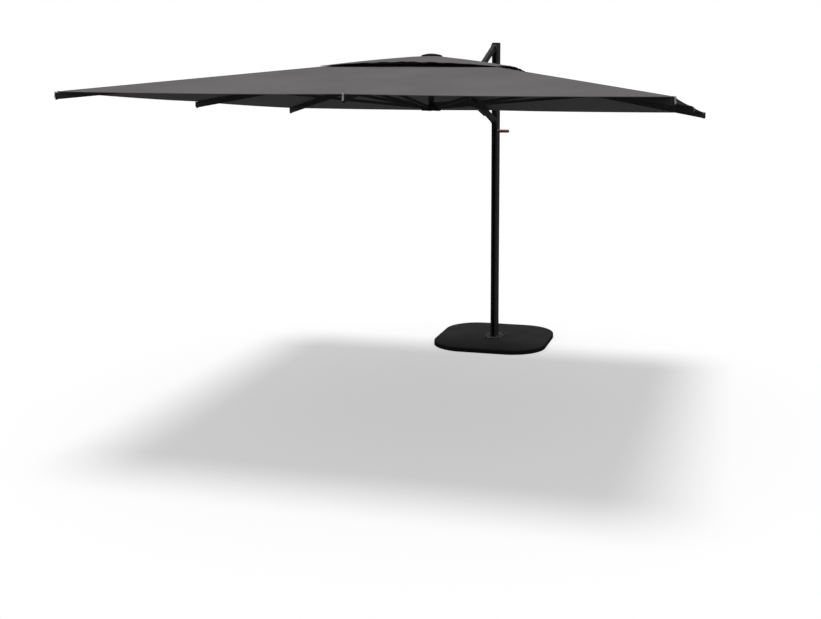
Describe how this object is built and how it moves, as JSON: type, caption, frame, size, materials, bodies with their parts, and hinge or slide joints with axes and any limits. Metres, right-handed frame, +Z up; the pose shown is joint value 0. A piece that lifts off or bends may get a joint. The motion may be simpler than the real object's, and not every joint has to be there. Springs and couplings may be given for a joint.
{
  "type": "cantilever parasol with base",
  "caption": "Side-post parasol: square two-tier canopy on folding ribs, hung from a mast by a strut and a curved arm, over a flat ballast base.",
  "frame": {"origin": "middle of the base slab's underside, on the floor, on the mast's axis", "axes": "+Z up along the mast; the canopy stands out towards -Y; +X to the right of someone facing +Y"},
  "size_m": [3.529, 4.2938, 2.578],
  "materials": {
    "slab": "moulded ballast slab with a dark matt skin",
    "frame": "satin charcoal powder coat",
    "mould": "matt black nylon mouldings",
    "steel": "zinc-plated steel pins and screws",
    "glide": "natural acetal glide pads",
    "grip": "brown wood-look grip",
    "cloth": "woven dark grey cover cloth"
  },
  "bodies": {
    "stand": {"base_slab": "slab", "anchor_plate": "frame", "anchor_bolts": "steel", "foot_spigot": "frame", "foot_screws": "steel", "mast": "frame", "mast_head": "frame", "head_screws": "steel", "head_pin": "steel"},
    "upper_strut": {"upper_strut": "frame", "strut_bushes": "mould"},
    "arm": {"arm": "frame", "elbow_bracket": "frame", "elbow_pin": "steel", "arm_bushes": "mould"},
    "carriage": {"carriage": "mould", "carriage_glides": "glide", "carriage_pin": "steel"},
    "handle": {"handle_lever": "mould", "handle_grip": "grip", "handle_nut": "steel"},
    "crown": {"centre_post": "frame", "post_foot": "mould", "hub_pin": "steel", "top_hub": "mould", "top_hub_pins": "steel", "finial_cap": "mould", "canopy_main": "cloth", "canopy_vent": "cloth"},
    "lower_hub": {"lower_hub": "mould"},
    "rib_right": {"rib_right": "frame", "cap_right": "mould"},
    "stay_right": {"stay_right": "frame"},
    "rib_far_right": {"rib_far_right": "frame", "cap_far_right": "mould"},
    "stay_far_right": {"stay_far_right": "frame"},
    "rib_far": {"rib_far": "frame", "cap_far": "mould"},
    "stay_far": {"stay_far": "frame"},
    "rib_far_left": {"rib_far_left": "frame", "cap_far_left": "mould"},
    "stay_far_left": {"stay_far_left": "frame"},
    "rib_left": {"rib_left": "frame", "cap_left": "mould"},
    "stay_left": {"stay_left": "frame"},
    "rib_near_left": {"rib_near_left": "frame", "cap_near_left": "mould"},
    "stay_near_left": {"stay_near_left": "frame"},
    "rib_near": {"rib_near": "frame", "cap_near": "mould"},
    "stay_near": {"stay_near": "frame"},
    "rib_near_right": {"rib_near_right": "frame", "cap_near_right": "mould"},
    "stay_near_right": {"stay_near_right": "frame"}
  },
  "joints": [
    {"name": "fold", "type": "hinge", "parent": "stand", "child": "upper_strut", "pos_m": [0, -0.09, 2.538], "axis": [1, 0, 0], "range_deg": [0, 67.07], "deforming": ["canopy_main", "canopy_vent"]},
    {"name": "elbow", "type": "hinge", "parent": "upper_strut", "child": "arm", "pos_m": [0, -0.975, 2.2345], "axis": [1, 0, 0], "range_deg": [-134.14, 0]},
    {"name": "carriage_pivot", "type": "hinge", "parent": "arm", "child": "carriage", "pos_m": [0, -0.09, 1.931], "axis": [1, 0, 0], "range_deg": [0, 67.07]},
    {"name": "hub_pivot", "type": "hinge", "parent": "arm", "child": "crown", "pos_m": [0, -1.99806, 2.12566], "axis": [1, 0, 0], "range_deg": [0, 70.94]},
    {"name": "handle_turn", "type": "hinge", "parent": "carriage", "child": "handle", "pos_m": [0, -0.079, 1.839], "axis": [0, 1, 0], "range_deg": [0, 40]},
    {"name": "lower_hub_slide", "type": "slide", "parent": "crown", "child": "lower_hub", "axis": [0, -0.0675, -0.9977], "range_m": [0, 1.72001]},
    {"name": "rib_right_hinge", "type": "hinge", "parent": "crown", "child": "rib_right", "pos_m": [0.045, -2.02803, 2.42345], "axis": [0, 0.9977, -0.0675], "range_deg": [0, 74]},
    {"name": "stay_right_hinge", "type": "hinge", "parent": "rib_right", "child": "stay_right", "pos_m": [1.04921, -2.04287, 2.20411], "axis": [0, 0.9977, -0.0675], "range_deg": [-155.56, 0]},
    {"name": "rib_far_right_hinge", "type": "hinge", "parent": "crown", "child": "rib_far_right", "pos_m": [0.03182, -1.99628, 2.4213], "axis": [-0.7071, 0.7055, -0.0477], "range_deg": [0, 76.99]},
    {"name": "stay_far_right_hinge", "type": "hinge", "parent": "rib_far_right", "child": "stay_far_right", "pos_m": [0.74333, -1.29759, 2.20782], "axis": [-0.7071, 0.7055, -0.0477], "range_deg": [-155.56, 0]},
    {"name": "rib_far_hinge", "type": "hinge", "parent": "crown", "child": "rib_far", "pos_m": [-0.032, -1.94721, 2.41798], "axis": [-1, 0, 0], "range_deg": [0, 73.79]},
    {"name": "stay_far_hinge", "type": "hinge", "parent": "rib_far", "child": "stay_far", "pos_m": [-0.032, -0.96065, 2.12701], "axis": [-1, 0, 0], "range_deg": [-155.56, 0]},
    {"name": "rib_far_left_hinge", "type": "hinge", "parent": "crown", "child": "rib_far_left", "pos_m": [-0.03182, -1.99628, 2.4213], "axis": [-0.7071, -0.7055, 0.0477], "range_deg": [0, 76.99]},
    {"name": "stay_far_left_hinge", "type": "hinge", "parent": "rib_far_left", "child": "stay_far_left", "pos_m": [-0.74333, -1.29759, 2.20782], "axis": [-0.7071, -0.7055, 0.0477], "range_deg": [-155.56, 0]},
    {"name": "rib_left_hinge", "type": "hinge", "parent": "crown", "child": "rib_left", "pos_m": [-0.045, -2.02803, 2.42345], "axis": [0, -0.9977, 0.0675], "range_deg": [0, 74]},
    {"name": "stay_left_hinge", "type": "hinge", "parent": "rib_left", "child": "stay_left", "pos_m": [-1.04921, -2.04287, 2.20411], "axis": [0, -0.9977, 0.0675], "range_deg": [-155.56, 0]},
    {"name": "rib_near_left_hinge", "type": "hinge", "parent": "crown", "child": "rib_near_left", "pos_m": [-0.03182, -2.05978, 2.42559], "axis": [0.7071, -0.7055, 0.0477], "range_deg": [0, 76.99]},
    {"name": "stay_near_left_hinge", "type": "hinge", "parent": "rib_near_left", "child": "stay_near_left", "pos_m": [-0.74333, -2.78085, 2.30816], "axis": [0.7071, -0.7055, 0.0477], "range_deg": [-155.56, 0]},
    {"name": "rib_near_hinge", "type": "hinge", "parent": "crown", "child": "rib_near", "pos_m": [0, -2.07293, 2.42649], "axis": [1, 0, 0], "range_deg": [0, 74]},
    {"name": "stay_near_hinge", "type": "hinge", "parent": "rib_near", "child": "stay_near", "pos_m": [0, -3.08968, 2.27492], "axis": [1, 0, 0], "range_deg": [-155.56, 0]},
    {"name": "rib_near_right_hinge", "type": "hinge", "parent": "crown", "child": "rib_near_right", "pos_m": [0.03182, -2.05978, 2.42559], "axis": [0.7071, 0.7055, -0.0477], "range_deg": [0, 76.99]},
    {"name": "stay_near_right_hinge", "type": "hinge", "parent": "rib_near_right", "child": "stay_near_right", "pos_m": [0.74333, -2.78085, 2.30816], "axis": [0.7071, 0.7055, -0.0477], "range_deg": [-155.56, 0]}
  ],
  "couplings": [
    {"joint": "elbow", "follows": "fold", "ratio": -2},
    {"joint": "carriage_pivot", "follows": "fold", "ratio": 1},
    {"joint": "hub_pivot", "follows": "fold", "ratio": 1.0577},
    {"joint": "lower_hub_slide", "follows": "fold", "m_per_rad": 1.4693},
    {"joint": "rib_right_hinge", "follows": "fold", "ratio": 1.1033},
    {"joint": "stay_right_hinge", "follows": "fold", "ratio": -2.3192},
    {"joint": "rib_far_right_hinge", "follows": "fold", "ratio": 1.1479},
    {"joint": "stay_far_right_hinge", "follows": "fold", "ratio": -2.3193},
    {"joint": "rib_far_hinge", "follows": "fold", "ratio": 1.1001},
    {"joint": "stay_far_hinge", "follows": "fold", "ratio": -2.3192},
    {"joint": "rib_far_left_hinge", "follows": "fold", "ratio": 1.1479},
    {"joint": "stay_far_left_hinge", "follows": "fold", "ratio": -2.3193},
    {"joint": "rib_left_hinge", "follows": "fold", "ratio": 1.1033},
    {"joint": "stay_left_hinge", "follows": "fold", "ratio": -2.3192},
    {"joint": "rib_near_left_hinge", "follows": "fold", "ratio": 1.1479},
    {"joint": "stay_near_left_hinge", "follows": "fold", "ratio": -2.3193},
    {"joint": "rib_near_hinge", "follows": "fold", "ratio": 1.1033},
    {"joint": "stay_near_hinge", "follows": "fold", "ratio": -2.3192},
    {"joint": "rib_near_right_hinge", "follows": "fold", "ratio": 1.1479},
    {"joint": "stay_near_right_hinge", "follows": "fold", "ratio": -2.3193}
  ]
}
